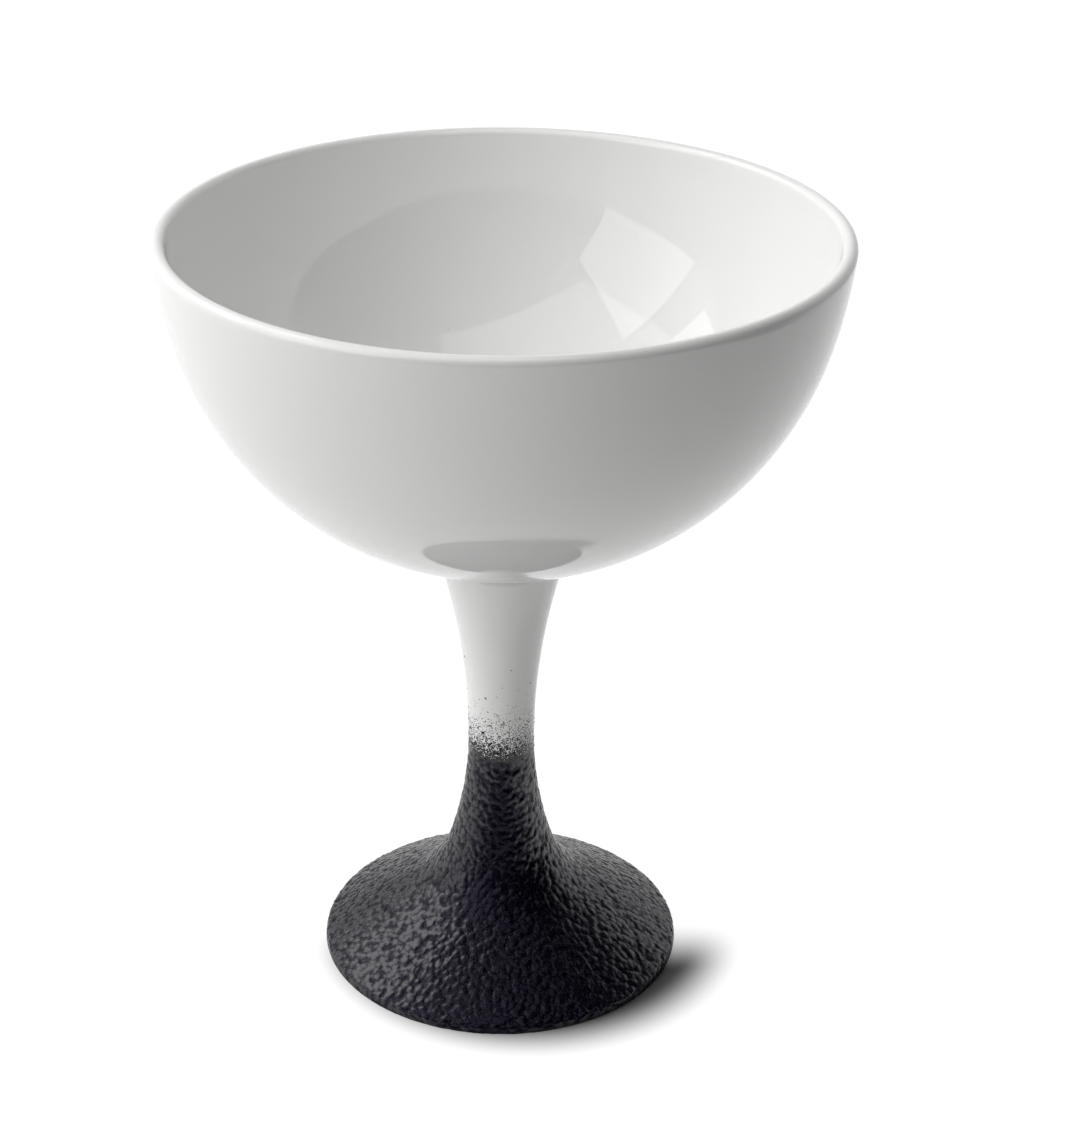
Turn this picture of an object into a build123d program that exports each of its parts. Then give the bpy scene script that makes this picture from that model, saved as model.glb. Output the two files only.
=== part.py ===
from build123d import *
import os
from math import asin, cos, degrees, radians, sin, sqrt

# A footed porcelain cocktail cup: a half-round bowl luted to a hollow pedestal,
# glazed white above and coated with a rough black slip below.
# Millimetres, +Z up, origin on the table at the middle of the foot.
os.makedirs("parts", exist_ok=True)

# Bowl, measured over its glaze
overall_height = 143.6
rim_diameter = 120.0
bowl_wall = 2.6
lip_flare = 0.7  # the rim reaches this far beyond the sphere of the bowl
side_angle = 15.0  # degrees below the rim at which the side leaves the sphere

# Stem, measured over its glaze
stem_top_diameter = 24.0  # the stem's sweep, carried up to the level of the bowl's lowest point
joint_fillet = 8.0
waist_diameter = 12.3
waist_height = 44.2

# Foot: its rim measured over the black coat, its cone on the bare porcelain
foot_diameter = 67.8
edge_height = 0.9  # upright edge of the foot, up to where it rounds over
edge_round = 0.9
cone_top_diameter = 36.0
cone_top_height = 10.9
sweep_ratio = 1.6  # how much longer the stem's lower sweep is than the flare of the foot

# Hollow underside
foot_wall = 3.2
hollow_below_waist = 14.0  # where the hollow starts to close into a dome
ring_round = 0.25

# Layers
glaze_thickness = 0.3
coat_thickness = 0.4
slip_thickness = 0.5
coat_below_waist = 2.7
bare_ring_height = 0.4  # unglazed strip left round the foot, just above the table


# Outline helpers: every point is (distance from the axis, height)
def arc(centre, start, end):
    # The shorter arc about a centre
    middle = (start - centre).normalized() + (end - centre).normalized()
    ThreePointArc(start, centre + middle.normalized() * (start - centre).length, end)


def sweep_radius(start, normal, end):
    # Radius of the arc that leaves start square to its normal and passes through end
    chord = end - start
    return chord.length**2 / (2 * chord.dot(normal))


def crossing(first, first_radius, second, second_radius):
    # Where two circles cross, on the right hand going from the first centre to the second
    span = second - first
    along = (first_radius**2 - second_radius**2 + span.length**2) / (2 * span.length)
    across = sqrt(first_radius**2 - along**2)
    ahead = span.normalized()
    return first + ahead * along + Vector(ahead.Y, -ahead.X) * across


def at_height(centre, radius, height):
    # The point of a circle that lies at a height, on the side towards the axis
    return Vector(centre.X - sqrt(radius**2 - (height - centre.Y) ** 2), height)


def pushed(point, centre, distance):
    # A point moved towards a centre
    return point + (centre - point).normalized() * distance


# Middle surface of the bowl's wall: a sphere, then a straighter side up to the round lip
sphere_radius = rim_diameter / 2 - lip_flare - bowl_wall / 2
lip_radius = rim_diameter / 2 - bowl_wall / 2
sphere_centre = Vector(0, overall_height - bowl_wall / 2)
leaving = Vector(cos(radians(side_angle)), -sin(radians(side_angle)))
side_shift = (lip_radius**2 - sphere_radius**2) / (2 * (sphere_radius - lip_radius * leaving.X))
side_centre = sphere_centre - leaving * side_shift
lip_centre = sphere_centre + Vector(lip_radius, 0)
lip_outward = (lip_centre - side_centre).normalized()
lip_upward = Vector(-lip_outward.Y, lip_outward.X)

bare_half_wall = bowl_wall / 2 - glaze_thickness
bare_sphere = sphere_radius + bare_half_wall


def on_sphere(radius, direction=Vector(0, -1)):
    return sphere_centre + direction * radius


def bowl_side(offset, start=Vector(0, -1)):
    # Face of the wall at an offset from its middle, from a direction on the sphere up to the lip
    leave = on_sphere(sphere_radius + offset, leaving)
    arc(sphere_centre, on_sphere(sphere_radius + offset, start), leave)
    arc(side_centre, leave, lip_centre + lip_outward * offset)


def lip(offset):
    arc(lip_centre, lip_centre + lip_outward * offset, lip_centre + lip_upward * offset)
    arc(lip_centre, lip_centre + lip_upward * offset, lip_centre - lip_outward * offset)


# Bare porcelain outline of the stem: waist, upper sweep and the fillet into the bowl
waist = Vector(waist_diameter / 2 - glaze_thickness, waist_height)
outward = Vector(1, 0)
stem_top = Vector(
    stem_top_diameter / 2 - glaze_thickness,
    sphere_centre.Y - sphere_radius - bowl_wall / 2,
)
upper_sweep = sweep_radius(waist, outward, stem_top)
upper_centre = waist + outward * upper_sweep
bare_fillet = joint_fillet + glaze_thickness
fillet_centre = crossing(
    sphere_centre, bare_sphere + bare_fillet, upper_centre, upper_sweep - bare_fillet
)
fillet_foot = pushed(fillet_centre, upper_centre, -bare_fillet)
fillet_direction = (fillet_centre - sphere_centre).normalized()

# Seat of the bowl on the stem, with the slip between them
seat_sphere = bare_sphere + slip_thickness
seat_edge = crossing(sphere_centre, seat_sphere, fillet_centre, bare_fillet)
seat_direction = (seat_edge - sphere_centre).normalized()
bowl_seat_edge = on_sphere(bare_sphere, seat_direction)

# Bare porcelain outline of the foot: the upright edge, its rounding and the cone
bare_round = edge_round - coat_thickness
foot_radius = foot_diameter / 2 - coat_thickness
edge_centre = Vector(foot_radius - bare_round, edge_height)
edge_side = edge_centre + outward * bare_round
cone_top = Vector(cone_top_diameter / 2, cone_top_height)
to_edge = edge_centre - cone_top
cone_normal = to_edge.normalized().rotate(Axis.Z, 90 + degrees(asin(bare_round / to_edge.length)))
cone_down = Vector(cone_normal.Y, -cone_normal.X)
edge_top = edge_centre + cone_normal * bare_round

# Lower sweep and flare: two arcs that join the waist to the cone without a corner
stem_down = Vector(0, -1)
reach = cone_top - waist
pull = reach.dot(stem_down * sweep_ratio + cone_down)
turn = 2 * sweep_ratio * (1 - stem_down.dot(cone_down))
flare_length = (sqrt(pull**2 + turn * reach.length**2) - pull) / turn
sweep_corner = waist + stem_down * flare_length * sweep_ratio
flare_corner = cone_top - cone_down * flare_length
flare_start = sweep_corner + (flare_corner - sweep_corner) * (sweep_ratio / (1 + sweep_ratio))
lower_sweep = sweep_radius(waist, outward, flare_start)
lower_centre = waist + outward * lower_sweep
flare_radius = sweep_radius(cone_top, cone_normal, flare_start)
flare_centre = cone_top + cone_normal * flare_radius
coat_top = waist_height - coat_below_waist


def stem_side(offset):
    # Stem from the foot of its fillet down to the top of the black coat
    narrow = waist + outward * offset
    arc(upper_centre, pushed(fillet_foot, upper_centre, offset), narrow)
    arc(lower_centre, narrow, at_height(lower_centre, lower_sweep - offset, coat_top))


def foot_side(offset, bottom):
    # Foot from the top of the black coat down to a height on its upright edge
    flare = pushed(flare_start, flare_centre, offset)
    cone = cone_top + cone_normal * offset
    top = edge_top + cone_normal * offset
    side = edge_side + outward * offset
    arc(lower_centre, at_height(lower_centre, lower_sweep - offset, coat_top), flare)
    arc(flare_centre, flare, cone)
    Line(cone, top)
    arc(edge_centre, top, side)
    Line(side, Vector(side.X, bottom))


# Bowl: one shell of even thickness, bare porcelain
with BuildPart() as bowl:
    with BuildSketch(Plane.XZ):
        with BuildLine():
            bowl_side(bare_half_wall)
            lip(bare_half_wall)
            bowl_side(-bare_half_wall)
            Line(on_sphere(sphere_radius - bare_half_wall), on_sphere(bare_sphere))
        make_face()
    revolve(axis=Axis.Z)

# Pedestal: stem and foot cast as one, dished on top and hollow below
hollow_sweep = lower_sweep + foot_wall
hollow_neck = at_height(lower_centre, hollow_sweep, waist_height - hollow_below_waist)
neck_inward = (hollow_neck - lower_centre).normalized()
dome_centre = hollow_neck - neck_inward * (hollow_neck.X / neck_inward.X)
dome_radius = (hollow_neck - dome_centre).length
dome_top = dome_centre + Vector(0, dome_radius)
hollow_flare = pushed(flare_start, flare_centre, -foot_wall)
hollow_cone = cone_top - cone_normal * foot_wall
ring_inside = hollow_cone - cone_down * (hollow_cone.Y / cone_down.Y)

with BuildPart() as pedestal:
    with BuildSketch(Plane.XZ):
        with BuildLine():
            arc(sphere_centre, on_sphere(seat_sphere), seat_edge)
            arc(fillet_centre, seat_edge, fillet_foot)
            stem_side(0)
            foot_side(0, 0)
            Line(Vector(foot_radius, 0), ring_inside)
            Line(ring_inside, hollow_cone)
            arc(flare_centre, hollow_cone, hollow_flare)
            arc(lower_centre, hollow_flare, hollow_neck)
            arc(dome_centre, hollow_neck, dome_top)
            Line(dome_top, on_sphere(seat_sphere))
        make_face()
    revolve(axis=Axis.Z)
    fillet(pedestal.edges().group_by(Axis.Z)[0], ring_round)

# Joining slip: the fired layer that holds the bowl on its seat
with BuildPart() as joining_slip:
    with BuildSketch(Plane.XZ):
        with BuildLine():
            arc(sphere_centre, on_sphere(bare_sphere), bowl_seat_edge)
            Line(bowl_seat_edge, seat_edge)
            arc(sphere_centre, seat_edge, on_sphere(seat_sphere))
            Line(on_sphere(seat_sphere), on_sphere(bare_sphere))
        make_face()
    revolve(axis=Axis.Z)

# White glaze: one skin over both faces of the bowl, the joint and the upper stem
glazed_half_wall = bowl_wall / 2
with BuildPart() as white_glaze:
    with BuildSketch(Plane.XZ):
        with BuildLine():
            bowl_side(-bare_half_wall)
            lip(bare_half_wall)
            bowl_side(bare_half_wall, seat_direction)
            Line(bowl_seat_edge, seat_edge)
            arc(fillet_centre, seat_edge, fillet_foot)
            stem_side(0)
            Line(
                at_height(lower_centre, lower_sweep, coat_top),
                at_height(lower_centre, lower_sweep - glaze_thickness, coat_top),
            )
            stem_side(glaze_thickness)
            arc(
                fillet_centre,
                pushed(fillet_foot, fillet_centre, glaze_thickness),
                on_sphere(bare_sphere + glaze_thickness, fillet_direction),
            )
            bowl_side(glazed_half_wall, fillet_direction)
            lip(glazed_half_wall)
            bowl_side(-glazed_half_wall)
            Line(on_sphere(sphere_radius - glazed_half_wall), on_sphere(sphere_radius - bare_half_wall))
        make_face()
    revolve(axis=Axis.Z)

# Black coat: a rough skin over the lower stem and the foot, clear of the table
with BuildPart() as black_coat:
    with BuildSketch(Plane.XZ):
        with BuildLine():
            foot_side(0, bare_ring_height)
            Line(
                Vector(foot_radius, bare_ring_height),
                Vector(foot_radius + coat_thickness, bare_ring_height),
            )
            foot_side(coat_thickness, bare_ring_height)
            Line(
                at_height(lower_centre, lower_sweep - coat_thickness, coat_top),
                at_height(lower_centre, lower_sweep, coat_top),
            )
        make_face()
    revolve(axis=Axis.Z)

bowl.part.label = "bowl"
pedestal.part.label = "pedestal"
joining_slip.part.label = "joining_slip"
white_glaze.part.label = "white_glaze"
black_coat.part.label = "black_coat"

export_step(bowl.part, "parts/bowl.step")
export_step(pedestal.part, "parts/pedestal.step")
export_step(joining_slip.part, "parts/joining_slip.step")
export_step(white_glaze.part, "parts/white_glaze.step")
export_step(black_coat.part, "parts/black_coat.step")
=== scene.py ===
from math import asin, atan2, ceil, cos, pi, radians, sin, sqrt

import bpy
from mathutils import Matrix, Vector


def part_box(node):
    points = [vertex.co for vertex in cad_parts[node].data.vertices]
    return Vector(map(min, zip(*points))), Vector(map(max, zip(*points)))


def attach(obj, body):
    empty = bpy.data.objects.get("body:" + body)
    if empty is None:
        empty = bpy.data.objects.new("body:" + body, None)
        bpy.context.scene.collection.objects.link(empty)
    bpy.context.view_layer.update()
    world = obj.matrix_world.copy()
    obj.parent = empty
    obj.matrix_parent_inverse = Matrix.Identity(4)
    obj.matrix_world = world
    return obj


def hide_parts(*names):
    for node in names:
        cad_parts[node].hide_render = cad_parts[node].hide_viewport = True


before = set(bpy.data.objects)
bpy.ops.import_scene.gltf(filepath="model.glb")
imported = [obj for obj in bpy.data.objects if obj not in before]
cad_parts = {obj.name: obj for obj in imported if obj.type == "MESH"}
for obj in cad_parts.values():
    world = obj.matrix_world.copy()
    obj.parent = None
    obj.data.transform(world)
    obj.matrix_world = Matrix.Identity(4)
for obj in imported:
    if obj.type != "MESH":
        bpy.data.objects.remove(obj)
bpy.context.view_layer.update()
mm = 0.001
tiny = 1e-7  # points nearer to each other than this are one point
sharpAngle = radians(50)  # edges that turn by more than this are shaded sharp
scene = bpy.context.scene
print("frame loaded:", ", ".join(sorted(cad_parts)))

# The cup's outline, worked out as (distance from the axis, height) over the glaze and the coat
cupShape = {
    "wall": 2.6 * mm,
    "lipFlare": 0.7 * mm,  # how far the rim reaches beyond the sphere of the bowl
    "sideAngle": 15,  # degrees below the rim where the side leaves the sphere
    "stemTopRadius": 12 * mm,
    "jointFillet": 8 * mm,
    "waistRadius": 6.15 * mm,
    "waistHeight": 44.2 * mm,
    "slip": 0.5 * mm,
    "coneTopRadius": 18 * mm,  # on the bare porcelain
    "coneTopHeight": 10.9 * mm,
    "edgeHeight": 0.9 * mm,
    "edgeRound": 1.3 * mm,
    "sweepRatio": 1.6,
}
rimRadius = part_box("white_glaze")[1].x
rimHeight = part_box("white_glaze")[1].z
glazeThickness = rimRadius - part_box("bowl")[1].x
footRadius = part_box("pedestal")[1].x
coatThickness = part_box("black_coat")[1].x - footRadius
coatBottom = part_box("black_coat")[0].z
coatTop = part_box("black_coat")[1].z


def arcLine(centre, start, end, step):
    # points of the shorter arc from start to end, both ends included
    first, last = start - centre, end - centre
    angle = atan2(first.y, first.x)
    turn = (atan2(last.y, last.x) - angle + pi) % (2 * pi) - pi
    count = max(1, ceil(abs(turn) * first.length / step))
    turns = [angle + turn * i / count for i in range(count + 1)]
    return [centre + Vector((cos(t), sin(t))) * first.length for t in turns]


def straightLine(start, end, step):
    count = max(1, ceil((end - start).length / step))
    return [start.lerp(end, i / count) for i in range(count + 1)]


def pushed(point, centre, distance):
    return point + (centre - point).normalized() * distance


def atHeight(centre, radius, height):
    return Vector((centre.x - sqrt(radius**2 - (height - centre.y) ** 2), height))


def sweepRadius(start, normal, end):
    # radius of the arc that leaves start square to its normal and passes through end
    chord = end - start
    return chord.length_squared / (2 * chord.dot(normal))


def circlesCross(first, firstRadius, second, secondRadius):
    span = second - first
    along = (firstRadius**2 - secondRadius**2 + span.length_squared) / (2 * span.length)
    ahead = span.normalized()
    return first + ahead * along + Vector((ahead.y, -ahead.x)) * sqrt(firstRadius**2 - along**2)


outward, upward = Vector((1, 0)), Vector((0, 1))
halfWall = cupShape["wall"] / 2
sphereRadius = rimRadius - cupShape["lipFlare"] - halfWall
sphereCentre = Vector((0, rimHeight - halfWall))
sideTurn = radians(cupShape["sideAngle"])
leaving = Vector((cos(sideTurn), -sin(sideTurn)))
lipRadius = rimRadius - halfWall
sideShift = (lipRadius**2 - sphereRadius**2) / (2 * (sphereRadius - lipRadius * leaving.x))
sideCentre = sphereCentre - leaving * sideShift
lipCentre = sphereCentre + outward * lipRadius
lipOutward = (lipCentre - sideCentre).normalized()
lipUpward = Vector((-lipOutward.y, lipOutward.x))

waist = Vector((cupShape["waistRadius"] - glazeThickness, cupShape["waistHeight"]))
stemTop = Vector((cupShape["stemTopRadius"] - glazeThickness, sphereCentre.y - sphereRadius - halfWall))
upperSweep = sweepRadius(waist, outward, stemTop)
upperCentre = waist + outward * upperSweep
bareSphere = sphereRadius + halfWall - glazeThickness
bareFillet = cupShape["jointFillet"] + glazeThickness
filletCentre = circlesCross(sphereCentre, bareSphere + bareFillet, upperCentre, upperSweep - bareFillet)
filletFoot = pushed(filletCentre, upperCentre, -bareFillet)
filletDirection = (filletCentre - sphereCentre).normalized()
seatEdge = circlesCross(sphereCentre, bareSphere + cupShape["slip"], filletCentre, bareFillet)
seatDirection = (seatEdge - sphereCentre).normalized()

bareRound = cupShape["edgeRound"] - coatThickness
edgeCentre = Vector((footRadius - bareRound, cupShape["edgeHeight"]))
coneTop = Vector((cupShape["coneTopRadius"], cupShape["coneTopHeight"]))
toEdge = edgeCentre - coneTop
coneNormal = toEdge.normalized()
coneNormal.rotate(Matrix.Rotation(pi / 2 + asin(bareRound / toEdge.length), 2))
coneDown = Vector((coneNormal.y, -coneNormal.x))
edgeTop = edgeCentre + coneNormal * bareRound
reach = coneTop - waist
ratio = cupShape["sweepRatio"]
pull = reach.dot(coneDown - upward * ratio)
bend = 2 * ratio * (1 + upward.dot(coneDown))
flareLength = (sqrt(pull**2 + bend * reach.length_squared) - pull) / bend
sweepCorner = waist - upward * flareLength * ratio
flareCorner = coneTop - coneDown * flareLength
flareStart = sweepCorner.lerp(flareCorner, ratio / (1 + ratio))
lowerSweep = sweepRadius(waist, outward, flareStart)
lowerCentre = waist + outward * lowerSweep
flareRadius = sweepRadius(coneTop, coneNormal, flareStart)
flareCentre = coneTop + coneNormal * flareRadius


def bowlFace(offset, start, step):
    # one face of the bowl's wall, from a direction on the sphere up to the lip
    radius = sphereRadius + offset
    leave = sphereCentre + leaving * radius
    return arcLine(sphereCentre, sphereCentre + start * radius, leave, step) + arcLine(
        sideCentre, leave, lipCentre + lipOutward * offset, step
    )


def lipFace(offset, step):
    crest = lipCentre + lipUpward * offset
    return arcLine(lipCentre, lipCentre + lipOutward * offset, crest, step) + arcLine(
        lipCentre, crest, lipCentre - lipOutward * offset, step
    )


def stemFace(offset, bottom, step):
    # the stem from a height below the waist up to the foot of the fillet
    narrow = waist + outward * offset
    low = atHeight(lowerCentre, lowerSweep - offset, bottom)
    return arcLine(lowerCentre, low, narrow, step) + arcLine(
        upperCentre, narrow, pushed(filletFoot, upperCentre, offset), step
    )


def footFace(offset, bottom, top, step):
    # the foot from its upright edge up to a height on the stem
    side = edgeCentre + outward * (bareRound + offset)
    flare = pushed(flareStart, flareCentre, offset)
    return (
        straightLine(Vector((side.x, bottom)), side, step)
        + arcLine(edgeCentre, side, edgeTop + coneNormal * offset, step / 2)
        + straightLine(edgeTop + coneNormal * offset, coneTop + coneNormal * offset, step)
        + arcLine(flareCentre, coneTop + coneNormal * offset, flare, step)
        + arcLine(lowerCentre, flare, atHeight(lowerCentre, lowerSweep - offset, top), step)
    )


def withoutRepeats(points):
    kept = [points[0]]
    for point in points[1:]:
        if (point - kept[-1]).length > tiny:
            kept.append(point)
    return kept


def ringRow(firsts, counts, row, following):
    # the faces between two rings, where one may have twice or half the other's points
    here, there = firsts[row], firsts[following]
    n, m = counts[row], counts[following]
    faces = []
    for i in range(max(n, m)):
        if n == m:
            j = (i + 1) % n
            faces.append((here + i, here + j, there + j, there + i))
        elif m == 1 or n == 1:
            j = (i + 1) % max(n, m)
            faces.append((here + i, here + j, there) if m == 1 else (here, there + j, there + i))
        elif m == 2 * n and i < n:
            j = (i + 1) % n
            a, b, c = there + 2 * i, there + 2 * i + 1, there + 2 * j
            faces += [(here + i, b, a), (here + i, here + j, b), (here + j, c, b)]
        elif n == 2 * m and i < m:
            j = (i + 1) % m
            a, b, c = here + 2 * i, here + 2 * i + 1, here + 2 * j
            faces += [(a, b, there + i), (b, there + j, there + i), (b, c, there + j)]
    return faces


def turned(name, outline, countAt, closed=True):
    # a mesh turned about Z from an outline that runs anticlockwise; countAt gives each ring's points
    counts = [1 if point.x < tiny else countAt(point) for point in outline]
    firsts, points = [], []
    for point, count in zip(outline, counts):
        firsts.append(len(points))
        for i in range(count):
            angle = 2 * pi * i / count
            points.append((point.x * cos(angle), point.x * sin(angle), point.y))
    faces = []
    for row in range(len(outline) if closed else len(outline) - 1):
        following = (row + 1) % len(outline)
        if counts[row] > 1 or counts[following] > 1:
            faces += ringRow(firsts, counts, row, following)
    mesh = bpy.data.meshes.new(name)
    mesh.from_pydata(points, [], faces)
    mesh.shade_smooth()
    mesh.set_sharp_from_angle(angle=sharpAngle)
    mesh.update()
    piece = bpy.data.objects.new(name, mesh)
    scene.collection.objects.link(piece)
    return piece


# Node helpers
def addNode(tree, kind, inputs=None, **settings):
    made = tree.nodes.new(kind)
    for name, value in settings.items():
        setattr(made, name, value)
    for name, value in (inputs or {}).items():
        plug(tree, made.inputs[name], value)
    return made


def plug(tree, socket, value):
    if isinstance(value, bpy.types.NodeSocket):
        tree.links.new(value, socket)
    else:
        socket.default_value = value


def calc(tree, operation, *values, clamp=False):
    made = tree.nodes.new("ShaderNodeMath")
    made.operation = operation
    made.use_clamp = clamp
    for socket, value in zip(made.inputs, values):
        plug(tree, socket, value)
    return made.outputs[0]


def mapped(tree, value, low, high, newLow=0.0, newHigh=1.0, smooth=True):
    made = addNode(tree, "ShaderNodeMapRange", {"Value": value, "From Min": low, "From Max": high})
    made.interpolation_type = "SMOOTHSTEP" if smooth else "LINEAR"
    plug(tree, made.inputs["To Min"], newLow)
    plug(tree, made.inputs["To Max"], newHigh)
    return made.outputs["Result"]


def product(tree, first, *others):
    for other in others:
        first = calc(tree, "MULTIPLY", first, other)
    return first


def blended(tree, factor, first, second):
    # a Mix node of colours takes them at sockets 6 and 7 and gives the mixed one at 2
    made = addNode(tree, "ShaderNodeMix", data_type="RGBA")
    plug(tree, made.inputs["Factor"], factor)
    plug(tree, made.inputs[6], first)
    plug(tree, made.inputs[7], second)
    return made.outputs[2]


def noise(tree, place, scale, detail=2.0, output="Fac"):
    made = addNode(tree, "ShaderNodeTexNoise", {"Vector": place, "Scale": scale, "Detail": detail})
    return made.outputs[output]


def grains(tree, place, scale, smoothness, power):
    # rounded cells: nought in the middle of each, and rising with this power of the distance
    cells = addNode(tree, "ShaderNodeTexVoronoi", {"Vector": place, "Scale": scale}, feature="SMOOTH_F1")
    cells.inputs["Smoothness"].default_value = smoothness
    return calc(tree, "POWER", cells.outputs["Distance"], power)


def combined(tree, operation, first, second):
    return addNode(tree, "ShaderNodeVectorMath", {0: first, 1: second}, operation=operation).outputs[0]


def scaledBy(tree, value, factor):
    made = addNode(tree, "ShaderNodeVectorMath", {0: value}, operation="SCALE")
    plug(tree, made.inputs["Scale"], factor)
    return made.outputs[0]


def drift(tree, place, scale, amount):
    # a vector that wanders round nought, up to half the amount each way
    wander = noise(tree, place, scale, output="Color")
    return scaledBy(tree, combined(tree, "SUBTRACT", wander, (0.5, 0.5, 0.5)), amount)


def heightOf(tree, place):
    return addNode(tree, "ShaderNodeSeparateXYZ", {"Vector": place}).outputs["Z"]


def newTree(name, kind, inputs, outputs):
    tree = bpy.data.node_groups.new(name, kind)
    for label, socketKind, value in inputs:
        socket = tree.interface.new_socket(label, in_out="INPUT", socket_type=socketKind)
        if value is not None:
            socket.default_value = value
    for label, socketKind in outputs:
        tree.interface.new_socket(label, in_out="OUTPUT", socket_type=socketKind)
    return tree, tree.nodes.new("NodeGroupInput").outputs, tree.nodes.new("NodeGroupOutput").inputs


number, colour, vector = "NodeSocketFloat", "NodeSocketColor", "NodeSocketVector"
shape, finishKind = "NodeSocketGeometry", "NodeSocketMaterial"
noiseRange = (0.3, 0.7)  # most values of a noise lie between these

# Sprayed black slip, shared by the coat and the spray on the glaze: rounded grains with finer ones and grit
slipGrain = {
    "warpTightness": 0.4,  # a tightness is a pattern's scale times the grain size
    "warpReach": 1.8,  # in grain sizes
    "pebbleTightness": 0.5,
    "pebbleSmoothness": 0.1,
    "pebbleDepth": 0.9,
    "smallSmoothness": 0.3,
    "smallDepth": 0.30,
    "domePower": 2.0,
    "gritTightness": 2.0,
    "gritDetail": 3.0,
    "gritHeight": 0.18,
    "cloudTightness": 0.06,
    "cloudShade": (0.8, 1.25),
    "roughness": (0.19, 0.30),
}


def makeBlackSlip():
    tree, given, result = newTree(
        "blackSlip",
        "ShaderNodeTree",
        [("Vector", vector, None), ("Grain Size", number, 0.45 * mm), ("Tint", colour, (0.5, 0.5, 0.5, 1))],
        [("Color", colour), ("Roughness", number), ("Height", number)],
    )
    place = given["Vector"]
    tight = calc(tree, "DIVIDE", 1.0, given["Grain Size"])
    warpScale = product(tree, tight, slipGrain["warpTightness"])
    warpReach = product(tree, given["Grain Size"], slipGrain["warpReach"])
    bent = combined(tree, "ADD", place, drift(tree, place, warpScale, warpReach))
    power = slipGrain["domePower"]
    pebbleScale = product(tree, tight, slipGrain["pebbleTightness"])
    pebble = grains(tree, bent, pebbleScale, slipGrain["pebbleSmoothness"], power)
    small = grains(tree, bent, tight, slipGrain["smallSmoothness"], power)
    grit = noise(tree, place, product(tree, tight, slipGrain["gritTightness"]), slipGrain["gritDetail"])
    cloud = noise(tree, place, product(tree, tight, slipGrain["cloudTightness"]))
    height = product(tree, pebble, -slipGrain["pebbleDepth"])
    height = calc(tree, "MULTIPLY_ADD", small, -slipGrain["smallDepth"], height)
    height = calc(tree, "MULTIPLY_ADD", grit, slipGrain["gritHeight"], calc(tree, "ADD", height, 1.0))
    shade = mapped(tree, cloud, *noiseRange, *slipGrain["cloudShade"])
    plug(tree, result["Color"], scaledBy(tree, given["Tint"], shade))
    plug(tree, result["Roughness"], mapped(tree, grit, *noiseRange, *slipGrain["roughness"]))
    plug(tree, result["Height"], height)
    return tree


# Bare fired clay, shared by the porcelain and the joining slip: a faint grain with a few iron specks
clayLook = {
    "grainDetail": 4.0,
    "grainDepth": 0.02 * mm,
    "cloudTightness": 0.04,
    "cloudShade": (0.93, 1.04),
    "speckTightness": 0.12,
    "speckEdge": (0.05, 0.09),
    "speckStrength": 0.6,
    "speckColor": (0.22, 0.15, 0.10, 1),
    "roughness": (0.62, 0.82),
}


def makeClayGrain():
    tree, given, result = newTree(
        "clayGrain",
        "ShaderNodeTree",
        [("Vector", vector, None), ("Grain Size", number, 0.3 * mm), ("Tint", colour, (0.8, 0.8, 0.8, 1))],
        [("Color", colour), ("Roughness", number), ("Height", number)],
    )
    place = given["Vector"]
    tight = calc(tree, "DIVIDE", 1.0, given["Grain Size"])
    grain = noise(tree, place, tight, clayLook["grainDetail"])
    cloud = noise(tree, place, product(tree, tight, clayLook["cloudTightness"]))
    speckScale = product(tree, tight, clayLook["speckTightness"])
    speck = addNode(tree, "ShaderNodeTexVoronoi", {"Vector": place, "Scale": speckScale})
    iron = mapped(tree, speck.outputs["Distance"], *clayLook["speckEdge"], 1.0, 0.0)
    iron = product(tree, iron, clayLook["speckStrength"])
    shade = mapped(tree, cloud, *noiseRange, *clayLook["cloudShade"])
    tinted = scaledBy(tree, given["Tint"], shade)
    plug(tree, result["Color"], blended(tree, iron, tinted, clayLook["speckColor"]))
    plug(tree, result["Roughness"], mapped(tree, grain, *noiseRange, *clayLook["roughness"]))
    plug(tree, result["Height"], grain)
    return tree


blackSlip, clayGrain = makeBlackSlip(), makeClayGrain()


def newMaterial(name):
    material = bpy.data.materials.new(name)
    material.use_nodes = True
    tree = material.node_tree
    tree.nodes.clear()
    surface = tree.nodes.new("ShaderNodeBsdfPrincipled")
    output = tree.nodes.new("ShaderNodeOutputMaterial")
    tree.links.new(surface.outputs["BSDF"], output.inputs["Surface"])
    place = tree.nodes.new("ShaderNodeTexCoord").outputs["Object"]
    return material, tree, surface, place


def bumpFrom(tree, height, distance):
    made = addNode(tree, "ShaderNodeBump", {"Height": height, "Distance": distance, "Strength": 1.0})
    return made.outputs["Normal"]


def groupIn(tree, group, place, tint, grainSize=None):
    made = addNode(tree, "ShaderNodeGroup", node_tree=group)
    plug(tree, made.inputs["Vector"], place)
    made.inputs["Tint"].default_value = tint
    if grainSize is not None:
        made.inputs["Grain Size"].default_value = grainSize
    return made.outputs


# White gloss glaze, with the black spray that fades up the stem
glazeLook = {
    "white": (0.86, 0.86, 0.85, 1),
    "roughness": 0.012,
    "ior": 1.5,
    "cloudSize": 25 * mm,
    "cloudDim": 0.985,  # the white's faint clouds are this much darker
    "black": (0.0035, 0.0030, 0.0054, 1),
    "sprayFade": 5.6 * mm,  # the spray thins out over a few times this height
    "sprayGrain": 0.27 * mm,
    "sprayEdge": 0.015,  # softness of the spray's specks
    "sprayDepth": 0.04 * mm,
    "dotSpacing": 5.5 * mm,
    "dotRadius": 0.11 * mm,
    "dotCore": 0.6,  # share of the radius that is full colour
    "dotShare": 0.25,  # of the spacing's cells that hold a dot
    "dotColor": (0.18, 0.15, 0.12, 1),
    "dotStrength": 0.7,
}
sprayFall = 1.3  # power of the height at which the spray thins out
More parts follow.
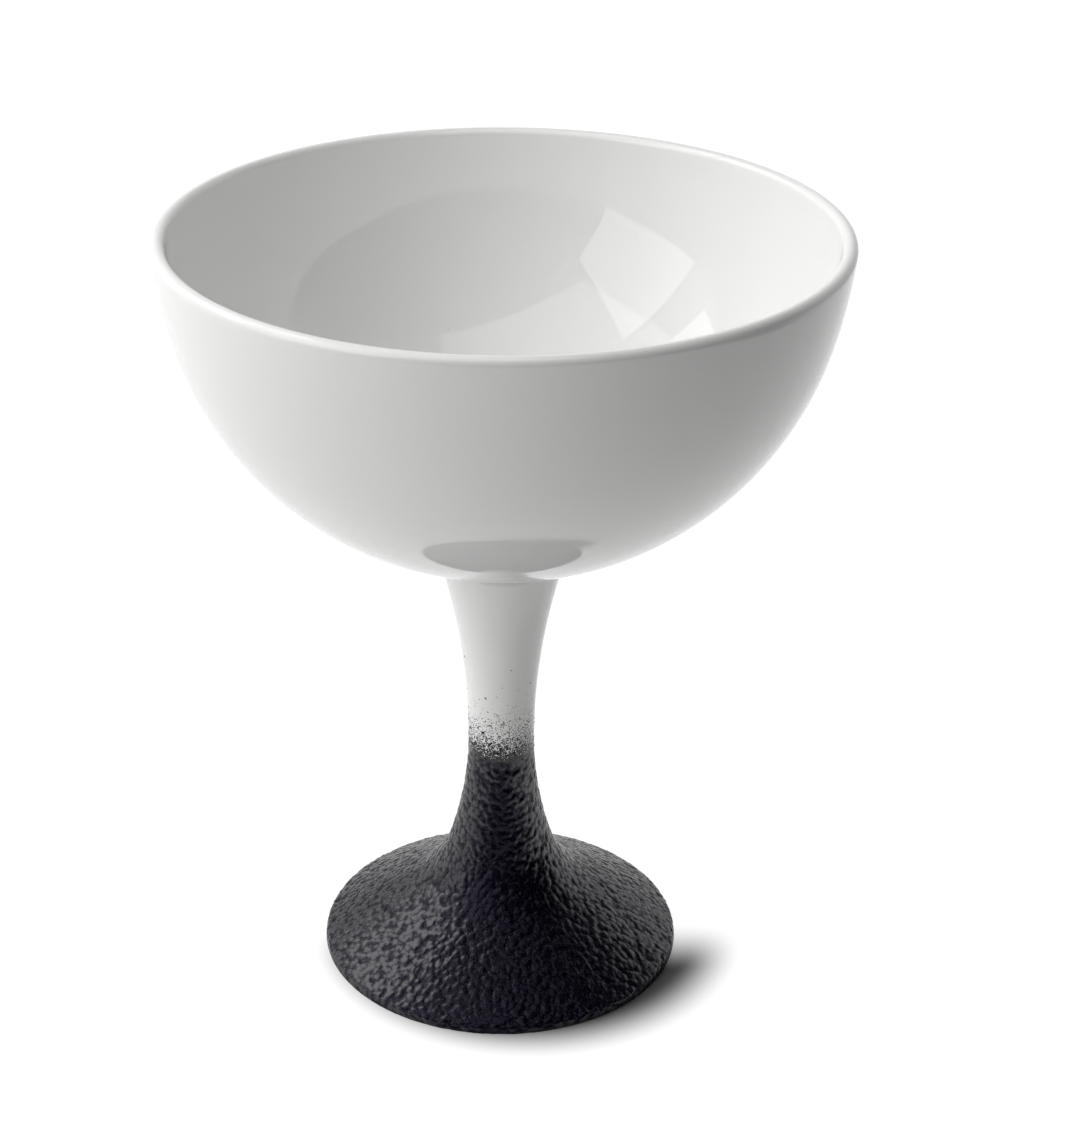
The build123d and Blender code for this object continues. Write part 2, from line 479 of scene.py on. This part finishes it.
# from the share that is to be black to the level of the grain's noise that cuts it out
sprayCurve = ((0.0, 0.0), (0.02, 0.24), (0.1, 0.34), (0.35, 0.44), (0.66, 0.53), (0.9, 0.62), (1.0, 0.70))


def sprayCover(tree, height, fade):
    # share of the surface under black at a height: whole at the coat, then thinner and thinner
    above = calc(tree, "MAXIMUM", calc(tree, "SUBTRACT", height, coatTop), 0.0)
    fallen = calc(tree, "POWER", calc(tree, "DIVIDE", above, fade), sprayFall)
    return calc(tree, "EXPONENT", product(tree, fallen, -1.0))


def makeGlazeMaterial():
    material, tree, surface, place = newMaterial("whiteGloss")
    cover = sprayCover(tree, heightOf(tree, place), glazeLook["sprayFade"])
    curve = addNode(tree, "ShaderNodeFloatCurve", {"Value": cover})
    line = curve.mapping.curves[0]
    line.points[0].location, line.points[1].location = sprayCurve[0], sprayCurve[-1]
    for point in sprayCurve[1:-1]:
        line.points.new(*point)
    curve.mapping.update()
    over = calc(tree, "SUBTRACT", curve.outputs[0], noise(tree, place, 1 / glazeLook["sprayGrain"]))
    spray = mapped(tree, over, -glazeLook["sprayEdge"], glazeLook["sprayEdge"])

    cells = addNode(tree, "ShaderNodeTexVoronoi", {"Vector": place, "Scale": 1 / glazeLook["dotSpacing"]})
    edge = glazeLook["dotRadius"] / glazeLook["dotSpacing"]
    near = mapped(tree, cells.outputs["Distance"], glazeLook["dotCore"] * edge, edge, 1.0, 0.0)
    chosen = addNode(tree, "ShaderNodeSeparateColor", {"Color": cells.outputs["Color"]}).outputs[0]
    dot = product(tree, near, calc(tree, "LESS_THAN", chosen, glazeLook["dotShare"]))

    dim = [glazeLook["cloudDim"] * c for c in glazeLook["white"][:3]] + [1]
    white = blended(tree, noise(tree, place, 1 / glazeLook["cloudSize"]), dim, glazeLook["white"])
    white = blended(tree, product(tree, dot, glazeLook["dotStrength"]), white, glazeLook["dotColor"])

    slip = groupIn(tree, blackSlip, place, glazeLook["black"])
    plug(tree, surface.inputs["Base Color"], blended(tree, spray, white, slip["Color"]))
    gloss = mapped(tree, spray, 0.0, 1.0, glazeLook["roughness"], slip["Roughness"], smooth=False)
    plug(tree, surface.inputs["Roughness"], gloss)
    # the spray stands up by half of its depth, and its grain by up to the other half
    lumps = product(tree, spray, calc(tree, "MULTIPLY_ADD", slip["Height"], 0.5, 0.5))
    plug(tree, surface.inputs["Normal"], bumpFrom(tree, lumps, glazeLook["sprayDepth"]))
    surface.inputs["IOR"].default_value = glazeLook["ior"]
    return material


# Black coat: a dark slip with a dull gloss, and a second gloss on its crests at middle slants
coatLook = {
    "tint": (0.0012, 0.0009, 0.0038, 1),
    "grainSize": 0.6 * mm,
    "grainDepth": 0.18 * mm,
    "shine": 0.17,
    "shineTint": (0.76, 0.70, 1.0, 1),
    "slantShine": 1.0,
    "slantRange": (0.09, 0.21),  # of the layer weight: the second gloss comes in between these
    "slantFade": (0.36, 0.68),  # and goes out between these
    "slantFaded": 0.15,  # down to this share
    "slantRoughness": 0.26,
    "crestRange": (0.50, 0.96),  # heights of the grain between which the second gloss comes in
    "crestShare": (0.1, 1.0),
}


def makeCoatMaterial():
    material, tree, surface, place = newMaterial("blackRough")
    slip = groupIn(tree, blackSlip, place, coatLook["tint"], coatLook["grainSize"])
    plug(tree, surface.inputs["Base Color"], slip["Color"])
    plug(tree, surface.inputs["Roughness"], slip["Roughness"])
    plug(tree, surface.inputs["Normal"], bumpFrom(tree, slip["Height"], coatLook["grainDepth"]))
    surface.inputs["Specular IOR Level"].default_value = coatLook["shine"]
    surface.inputs["Specular Tint"].default_value = coatLook["shineTint"]
    facing = addNode(tree, "ShaderNodeLayerWeight", {"Blend": 0.5}).outputs["Facing"]
    slanted = mapped(tree, facing, *coatLook["slantRange"], 0.0, coatLook["slantShine"])
    fading = mapped(tree, facing, *coatLook["slantFade"], 1.0, coatLook["slantFaded"])
    crest = mapped(tree, slip["Height"], *coatLook["crestRange"], *coatLook["crestShare"])
    plug(tree, surface.inputs["Coat Weight"], product(tree, slanted, fading, crest))
    surface.inputs["Coat Roughness"].default_value = coatLook["slantRoughness"]
    return material


def makeClayMaterial(name, tint, grainSize):
    material, tree, surface, place = newMaterial(name)
    clay = groupIn(tree, clayGrain, place, tint, grainSize)
    plug(tree, surface.inputs["Base Color"], clay["Color"])
    plug(tree, surface.inputs["Roughness"], clay["Roughness"])
    plug(tree, surface.inputs["Normal"], bumpFrom(tree, clay["Height"], clayLook["grainDepth"]))
    return material


whiteGloss, blackRough = makeGlazeMaterial(), makeCoatMaterial()
barePorcelain = makeClayMaterial("barePorcelain", (0.80, 0.77, 0.72, 1), 0.30 * mm)
firedSlip = makeClayMaterial("firedSlip", (0.78, 0.75, 0.70, 1), 0.45 * mm)
print("finishes made")

# Castings and joining slip, as the frame has them
for nodeName, finish in (("bowl", barePorcelain), ("pedestal", barePorcelain), ("joining_slip", firedSlip)):
    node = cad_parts[nodeName]
    node.data.materials.clear()
    node.data.materials.append(finish)
print("castings finished")

# White glaze: a closed skin over the bowl, its joint and the upper stem
glazeMesh = {
    "step": 1.0 * mm,
    "lipStep": 0.25 * mm,
    "jointStep": 0.5 * mm,
    "hiddenStep": 5 * mm,
    "hiddenJointStep": 1.0 * mm,
    "around": 288,
}


def makeGlaze():
    step, lipStep, hidden = glazeMesh["step"], glazeMesh["lipStep"], glazeMesh["hiddenStep"]
    bare = halfWall - glazeThickness
    down = -upward
    shown = stemFace(glazeThickness, coatTop, step)
    shown += arcLine(
        filletCentre,
        pushed(filletFoot, filletCentre, glazeThickness),
        sphereCentre + filletDirection * (bareSphere + glazeThickness),
        glazeMesh["jointStep"],
    )
    shown += bowlFace(halfWall, filletDirection, step) + lipFace(halfWall, lipStep)
    shown += list(reversed(bowlFace(-halfWall, down, step)))
    under = bowlFace(-bare, down, hidden)
    under += list(reversed(lipFace(bare, lipStep))) + list(reversed(bowlFace(bare, seatDirection, hidden)))
    under += arcLine(filletCentre, seatEdge, filletFoot, glazeMesh["hiddenJointStep"])
    under += list(reversed(stemFace(0, coatTop, hidden)))
    piece = turned("glaze_skin", withoutRepeats(shown + under), lambda point: glazeMesh["around"])
    piece.data.materials.append(whiteGloss)
    return piece


glaze = makeGlaze()
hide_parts("white_glaze")
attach(glaze, "root")
print("glaze laid:", len(glaze.data.polygons), "faces")

# Black coat: a closed skin with leathery bumps, over the lower stem and the foot
coatMesh = {
    "step": 0.33 * mm,
    "hiddenStep": 1.5 * mm,
    "around": (160, 320, 640),
    "widest": 0.36 * mm,  # a ring gets more points where they would lie further apart
    "smoothEnd": 1.6 * mm,  # the bumps fade out over this height below the top
    "smoothHem": 0.8 * mm,  # and over this height above the bottom
    "hemDrop": 0.22 * mm,  # the coat runs a little below its solid
    "hemRagged": 0.30 * mm,
    "hemBand": 0.001 * mm,  # points this close to the bottom are the hem's
    "flushHeight": 2.5 * mm,  # its top thins to the level of the glaze over this height
    "bumpSize": 1.2 * mm,
    "bumpDepth": 0.25 * mm,
}
leather = {
    "warpTightness": 0.8,  # a tightness is a pattern's scale times the bump size
    "warpReach": 0.9,  # in bump sizes
    "pebbleSmoothness": 0.1,
    "domePower": 2.5,
    "domeDepth": 1.3,
    "gritTightness": 1.3,
    "gritDepth": 0.5,
    "hemTightness": 0.7,
}


def attribute(tree, name):
    return addNode(tree, "GeometryNodeInputNamedAttribute", {"Name": name}, data_type="FLOAT").outputs[0]


def finished(tree, geometry, finish):
    # every tree ends in this pair, so that no piece keeps instances or goes without its finish
    solid = addNode(tree, "GeometryNodeRealizeInstances", {"Geometry": geometry})
    painted = addNode(tree, "GeometryNodeSetMaterial", {"Geometry": solid.outputs[0], "Material": finish})
    return painted.outputs[0]


def makeRelief():
    # sinks the pits between the bumps along the normal and lets the hem run up and down
    tree, given, result = newTree(
        "leatherRelief",
        "GeometryNodeTree",
        [
            ("Geometry", shape, None),
            ("Finish", finishKind, None),
            ("Bump Size", number, coatMesh["bumpSize"]),
            ("Bump Depth", number, coatMesh["bumpDepth"]),
            ("Hem Ragged", number, coatMesh["hemRagged"]),
        ],
        [("Geometry", shape)],
    )
    place = tree.nodes.new("GeometryNodeInputPosition").outputs[0]
    tight = calc(tree, "DIVIDE", 1.0, given["Bump Size"])
    warpScale = product(tree, tight, leather["warpTightness"])
    warpReach = product(tree, given["Bump Size"], leather["warpReach"])
    bent = combined(tree, "ADD", place, drift(tree, place, warpScale, warpReach))
    dome = grains(tree, bent, tight, leather["pebbleSmoothness"], leather["domePower"])
    grit = noise(tree, bent, product(tree, tight, leather["gritTightness"]))
    grit = product(tree, grit, leather["gritDepth"])
    pit = calc(tree, "MULTIPLY_ADD", dome, leather["domeDepth"], grit, clamp=True)
    depth = product(tree, pit, attribute(tree, "relief"), given["Bump Depth"])
    normal = tree.nodes.new("GeometryNodeInputNormal").outputs[0]
    sunk = scaledBy(tree, normal, product(tree, depth, -1.0))
    wander = noise(tree, place, product(tree, tight, leather["hemTightness"]))
    ragged = product(tree, attribute(tree, "hem"), given["Hem Ragged"])
    lift = product(tree, calc(tree, "SUBTRACT", wander, 0.5), ragged)
    raised = addNode(tree, "ShaderNodeCombineXYZ", {"Z": lift}).outputs[0]
    offset = combined(tree, "ADD", sunk, raised)
    moved = addNode(tree, "GeometryNodeSetPosition", {"Geometry": given["Geometry"], "Offset": offset})
    plug(tree, result["Geometry"], finished(tree, moved.outputs[0], given["Finish"]))
    return tree


def settled(piece, tree, values):
    # runs a Geometry Nodes tree on a piece and keeps the result as its plain mesh
    modifier = piece.modifiers.new(tree.name, "NODES")
    modifier.node_group = tree
    sockets = {item.name: item.identifier for item in tree.interface.items_tree if item.in_out == "INPUT"}
    for name, value in values.items():
        modifier[sockets[name]] = value
    mesh = bpy.data.meshes.new_from_object(piece.evaluated_get(bpy.context.evaluated_depsgraph_get()))
    piece.modifiers.remove(modifier)
    piece.data = mesh
    mesh.name = piece.name
    return piece


def makeCoat():
    bottom = coatBottom - coatMesh["hemDrop"]
    shown = withoutRepeats(footFace(coatThickness, bottom, coatTop, coatMesh["step"]))
    flush = coatThickness - glazeThickness
    for point in shown:
        rise = min(1, max(0, 1 - (coatTop - point.y) / coatMesh["flushHeight"]))
        point.x -= flush * rise * rise * (3 - 2 * rise)
    under = withoutRepeats(footFace(0, bottom, coatTop, coatMesh["hiddenStep"]))

    def countAt(point):
        for count in coatMesh["around"]:
            if 2 * pi * point.x / count <= coatMesh["widest"]:
                return count
        return coatMesh["around"][-1]

    piece = turned("coat_skin", shown + list(reversed(under)), countAt)
    outer = sum(countAt(point) for point in shown)
    heights = [vertex.co.z for vertex in piece.data.vertices]
    smoothEnd, smoothHem = coatMesh["smoothEnd"], coatMesh["smoothHem"]
    amounts = [min(1, (coatTop - height) / smoothEnd, (height - bottom) / smoothHem) for height in heights]
    amounts[outer:] = [0.0] * (len(heights) - outer)
    relief = piece.data.attributes.new("relief", "FLOAT", "POINT")
    relief.data.foreach_set("value", amounts)
    hem = piece.data.attributes.new("hem", "FLOAT", "POINT")
    hem.data.foreach_set("value", [float(height < bottom + coatMesh["hemBand"]) for height in heights])
    sizes = {"Bump Size": "bumpSize", "Bump Depth": "bumpDepth", "Hem Ragged": "hemRagged"}
    values = {label: coatMesh[key] for label, key in sizes.items()}
    settled(piece, makeRelief(), {**values, "Finish": blackRough})
    piece.data.set_sharp_from_angle(angle=sharpAngle)
    return piece


coat = makeCoat()
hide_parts("black_coat")
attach(coat, "root")
print("coat laid:", len(coat.data.polygons), "faces")

# Sprayed drops: raised flecks of the black slip that thin out up the glazed stem
dropSpray = {
    "Spray Fade": 5.0 * mm,
    "Drops": 1.6e6,  # for each square metre beside the coat
    "Smallest": 0.07 * mm,
    "Largest": 0.34 * mm,
    "Flatness": 0.30,
    "Clump Size": 2.2 * mm,
    "Seed": 7,
}
sprayBand = {"reach": 27 * mm, "step": 0.8 * mm, "around": 96}  # the part of the stem that catches drops
dropShape = {
    "rarity": 4.0,  # the higher, the fewer large drops
    "long": (1.0, 1.9),
    "wide": (0.55, 1.0),
    "raggedSize": 0.22 * mm,
    "ragged": 0.25 * mm,
    "clumpRange": (0.35, 0.65),
    "clumpShare": (0.35, 1.65),  # of the drops, between and inside clumps
}


def makeSprayTree():
    numbers = [(name, number, value) for name, value in dropSpray.items() if name != "Seed"]
    tree, given, result = newTree(
        "sprayedDrops",
        "GeometryNodeTree",
        [("Geometry", shape, None), ("Seed", "NodeSocketInt", 1), ("Finish", finishKind, None)] + numbers,
        [("Geometry", shape)],
    )
    place = tree.nodes.new("GeometryNodeInputPosition").outputs[0]
    cover = sprayCover(tree, heightOf(tree, place), given["Spray Fade"])
    clump = noise(tree, place, calc(tree, "DIVIDE", 1.0, given["Clump Size"]))
    crowd = mapped(tree, clump, *dropShape["clumpRange"], *dropShape["clumpShare"])
    spread = addNode(
        tree,
        "GeometryNodeDistributePointsOnFaces",
        {
            "Mesh": given["Geometry"],
            "Density": product(tree, cover, crowd, given["Drops"]),
            "Seed": given["Seed"],
        },
    )

    def chance(low, high, shift):
        made = addNode(tree, "FunctionNodeRandomValue", data_type="FLOAT")
        plug(tree, made.inputs[2], low)
        plug(tree, made.inputs[3], high)
        plug(tree, made.inputs["Seed"], calc(tree, "ADD", given["Seed"], shift))
        return made.outputs[1]

    rare = calc(tree, "POWER", chance(0.0, 1.0, 1), dropShape["rarity"])
    size = mapped(tree, rare, 0.0, 1.0, given["Smallest"], given["Largest"], smooth=False)
    long = product(tree, size, chance(*dropShape["long"], 2))
    wide = product(tree, size, chance(*dropShape["wide"], 3))
    tall = product(tree, size, given["Flatness"])
    angle = chance(0.0, 2 * pi, 4)
    spin = addNode(tree, "FunctionNodeAxisAngleToRotation", {"Axis": (0, 0, 1), "Angle": angle})
    turn = addNode(
        tree,
        "FunctionNodeRotateRotation",
        {"Rotation": spread.outputs["Rotation"], "Rotate By": spin.outputs[0]},
    )
    turn.rotation_space = "LOCAL"
    drop = addNode(tree, "GeometryNodeMeshIcoSphere", {"Radius": 1.0, "Subdivisions": 2})
    placed = addNode(
        tree,
        "GeometryNodeInstanceOnPoints",
        {
            "Points": spread.outputs["Points"],
            "Instance": drop.outputs["Mesh"],
            "Rotation": turn.outputs[0],
            "Scale": addNode(tree, "ShaderNodeCombineXYZ", {"X": long, "Y": wide, "Z": tall}).outputs[0],
        },
    )
    solid = addNode(tree, "GeometryNodeRealizeInstances", {"Geometry": placed.outputs[0]})
    ragged = drift(tree, place, 1 / dropShape["raggedSize"], dropShape["ragged"])
    shaped = addNode(tree, "GeometryNodeSetPosition", {"Geometry": solid.outputs[0], "Offset": ragged})
    smooth = addNode(tree, "GeometryNodeSetShadeSmooth", {"Geometry": shaped.outputs[0]})
    plug(tree, result["Geometry"], finished(tree, smooth.outputs[0], given["Finish"]))
    return tree


def makeDrops():
    stem = withoutRepeats(stemFace(glazeThickness, coatTop, sprayBand["step"]))
    band = [point for point in stem if point.y < coatTop + sprayBand["reach"]]
    piece = turned("sprayed_drops", band, lambda point: sprayBand["around"], closed=False)
    return settled(piece, makeSprayTree(), {**dropSpray, "Finish": blackRough})


drops = makeDrops()
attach(drops, "root")
print("drops sprayed:", len(drops.data.polygons), "faces")

# Floor, lights and camera
floorLook = {
    "left": -1.7,
    "right": 0.32,
    "front": -0.37,
    "back": 1.6,
    "color": (0.82, 0.82, 0.82, 1),
    "seenColor": (0.10, 0.10, 0.10, 1),  # where the camera or a gloss sees the floor, under the glow; in the patch without glow this dark grey shows as a painted shadow
    "glow": 0.98,
    "paintedShadowCentre": (5 * mm, 1.7 * mm, 0),  # middle of the patch without glow, a painted shadow where the floor shows dark grey with the foot's real shadow faint in it
    "paintedShadowRadius": (32 * mm, 43.7 * mm),  # the painted shadow gives way to the glow between these
    "paintedShadowSide": (-13.7 * mm, 3.2 * mm),  # and behind this strip it is whole
}
studioLook = {
    "level": 0.88,  # of the backdrop that lights the cup and shows in its gloss
    "whiteSide": (-0.3, 0.95, 0.0),
    "whiteRange": (-0.35, 0.25),  # dark on the side away from whiteSide, white on this one
    "sweepTop": (0.35, 0.80),  # the backdrop ends between these heights on the unit sphere
    "frontGlow": 0.2,  # a weak light from the front
    "frontSide": (-0.07, -0.80, 0.57),
    "frontRange": (0.72, 1.0),
}


def seenRay(tree):
    # one where the camera, a gloss or a clear body looks, nought where light is gathered
    path = tree.nodes.new("ShaderNodeLightPath")
    seen = calc(tree, "MAXIMUM", path.outputs["Is Camera Ray"], path.outputs["Is Glossy Ray"])
    return calc(tree, "MAXIMUM", seen, path.outputs["Is Transmission Ray"])


def makeFloor():
    left, right, front, back = (floorLook[side] for side in ("left", "right", "front", "back"))
    mesh = bpy.data.meshes.new("floor")
    corners = [(left, front, 0), (right, front, 0), (right, back, 0), (left, back, 0)]
    mesh.from_pydata(corners, [], [(0, 1, 2, 3)])
    floor = bpy.data.objects.new("floor", mesh)
    scene.collection.objects.link(floor)
    material, tree, surface, place = newMaterial("floorWhite")
    surface.inputs["Roughness"].default_value = 1.0
    surface.inputs["Specular IOR Level"].default_value = 0.0
    # painted shadow: the glow is left out in a patch beside the foot, so the camera sees the dark floor
    # there as shade, with the real shadow faint in it
    across = {0: place, 1: floorLook["paintedShadowCentre"]}
    radius = addNode(tree, "ShaderNodeVectorMath", across, operation="DISTANCE").outputs["Value"]
    inward = mapped(tree, radius, *floorLook["paintedShadowRadius"], 1.0, 0.0)
    depth = addNode(tree, "ShaderNodeSeparateXYZ", {"Vector": place}).outputs["Y"]
    paintedShadow = product(tree, inward, mapped(tree, depth, *floorLook["paintedShadowSide"], 1.0, 0.0))
    glow = product(tree, calc(tree, "SUBTRACT", 1.0, paintedShadow), floorLook["glow"])
    seen = seenRay(tree)
    color = blended(tree, seen, floorLook["color"], floorLook["seenColor"])
    plug(tree, surface.inputs["Base Color"], color)
    surface.inputs["Emission Color"].default_value = (1, 1, 1, 1)
    plug(tree, surface.inputs["Emission Strength"], product(tree, seen, glow))
    mesh.materials.append(material)


def makeWorld():
    world = bpy.data.worlds.new("studio")
    scene.world = world
    world.use_nodes = True
    tree = world.node_tree
    tree.nodes.clear()
    direction = tree.nodes.new("ShaderNodeTexCoord").outputs["Generated"]

    def towards(side, low, high):
        made = addNode(tree, "ShaderNodeVectorMath", {0: direction, 1: side}, operation="DOT_PRODUCT")
        return mapped(tree, made.outputs["Value"], low, high)

    below = calc(tree, "SUBTRACT", 1.0, towards((0, 0, 1), *studioLook["sweepTop"]))
    backdrop = product(tree, towards(studioLook["whiteSide"], *studioLook["whiteRange"]), below)
    front = towards(studioLook["frontSide"], *studioLook["frontRange"])
    front = product(tree, front, studioLook["frontGlow"])
    level = calc(tree, "MULTIPLY_ADD", backdrop, studioLook["level"], front)
    room = addNode(tree, "ShaderNodeBackground", {"Color": (1, 1, 1, 1), "Strength": level})
    white = addNode(tree, "ShaderNodeBackground", {"Color": (1, 1, 1, 1), "Strength": 1.0})
    path = tree.nodes.new("ShaderNodeLightPath")
    seen = calc(tree, "MAXIMUM", path.outputs["Is Camera Ray"], path.outputs["Is Transmission Ray"])
    mixed = addNode(tree, "ShaderNodeMixShader", {"Fac": seen, 1: room.outputs[0], 2: white.outputs[0]})
    addNode(tree, "ShaderNodeOutputWorld", {"Surface": mixed.outputs[0]})


# Lamps: flat panels from a corner, across and down; brightness is the level that one shows in a reflection
softboxes = {
    "keySoftbox": {
        "corner": (-0.613, -1.004, 0.689),
        "across": (-0.106, 0.966, 0.235),
        "down": (-0.29, 0.196, -0.937),
        "size": (0.76, 0.64),
        "brightness": 2.05,
    },
    "highSoftbox": {
        "corner": (-0.932, 0.053, 0.480),
        "across": (0.375, 0.927, 0.0),
        "down": (0.656, -0.265, 0.707),
        "size": (0.60, 0.60),
        "brightness": 2.4,
    },
    "overheadSoftbox": {
        "corner": (-0.911, -1.274, 1.115),
        "across": (0.891, 0.454, 0),
        "down": (-0.454, 0.891, 0),
        "size": (1.55, 1.3),
        "brightness": 1.42,
    },
    "edgeStrip": {
        "corner": (-0.45, -0.99, 0.82),
        "across": (-0.13, -0.03, -0.18),
        "down": (0.02, 0, 0.02),
        "size": (0.2, 0.012),
        "brightness": 2.5,
    },
}
lampTarget = Vector((0, 0, 0.1))  # every panel shines to the side that this point is on


def makeSoftbox(name, place):
    width, height = place["size"]
    across, down = Vector(place["across"]).normalized(), Vector(place["down"])
    down = (down - across * down.dot(across)).normalized()
    light = bpy.data.lights.new(name, "AREA")
    light.shape = "RECTANGLE"
    light.size, light.size_y = width, height
    light.energy = place["brightness"] * pi * width * height
    box = bpy.data.objects.new(name, light)
    centre = Vector(place["corner"]) + across * width / 2 + down * height / 2
    facing = across.cross(down)
    if facing.dot(centre - lampTarget) < 0:
        facing = -facing
    turn = Matrix((across, facing.cross(across), facing)).transposed()
    box.matrix_world = Matrix.Translation(centre) @ turn.to_4x4()
    box.visible_camera = False
    scene.collection.objects.link(box)


makeFloor()
makeWorld()
for name, place in softboxes.items():
    makeSoftbox(name, place)
print("stage set")

cameraPlace = {
    "back": 409.5 * mm,
    "height": 283.6 * mm,
    "pitch": 26.45,  # degrees below level
    "roll": 0.3,
    "lens": 80.6,
    "shift": 0.0336,
    "nearest": 20 * mm,
}


def makeCamera():
    data = bpy.data.cameras.new("camera")
    data.lens = cameraPlace["lens"]
    data.shift_x = cameraPlace["shift"]
    data.clip_start = cameraPlace["nearest"]
    camera = bpy.data.objects.new("camera", data)
    tilt = Matrix.Rotation(radians(90 - cameraPlace["pitch"]), 4, "X")
    roll = Matrix.Rotation(radians(cameraPlace["roll"]), 4, "Z")
    camera.matrix_world = Matrix.Translation((0, -cameraPlace["back"], cameraPlace["height"])) @ tilt @ roll
    scene.collection.objects.link(camera)
    scene.camera = camera


makeCamera()
scene.view_settings.view_transform = "Standard"
print("camera placed")
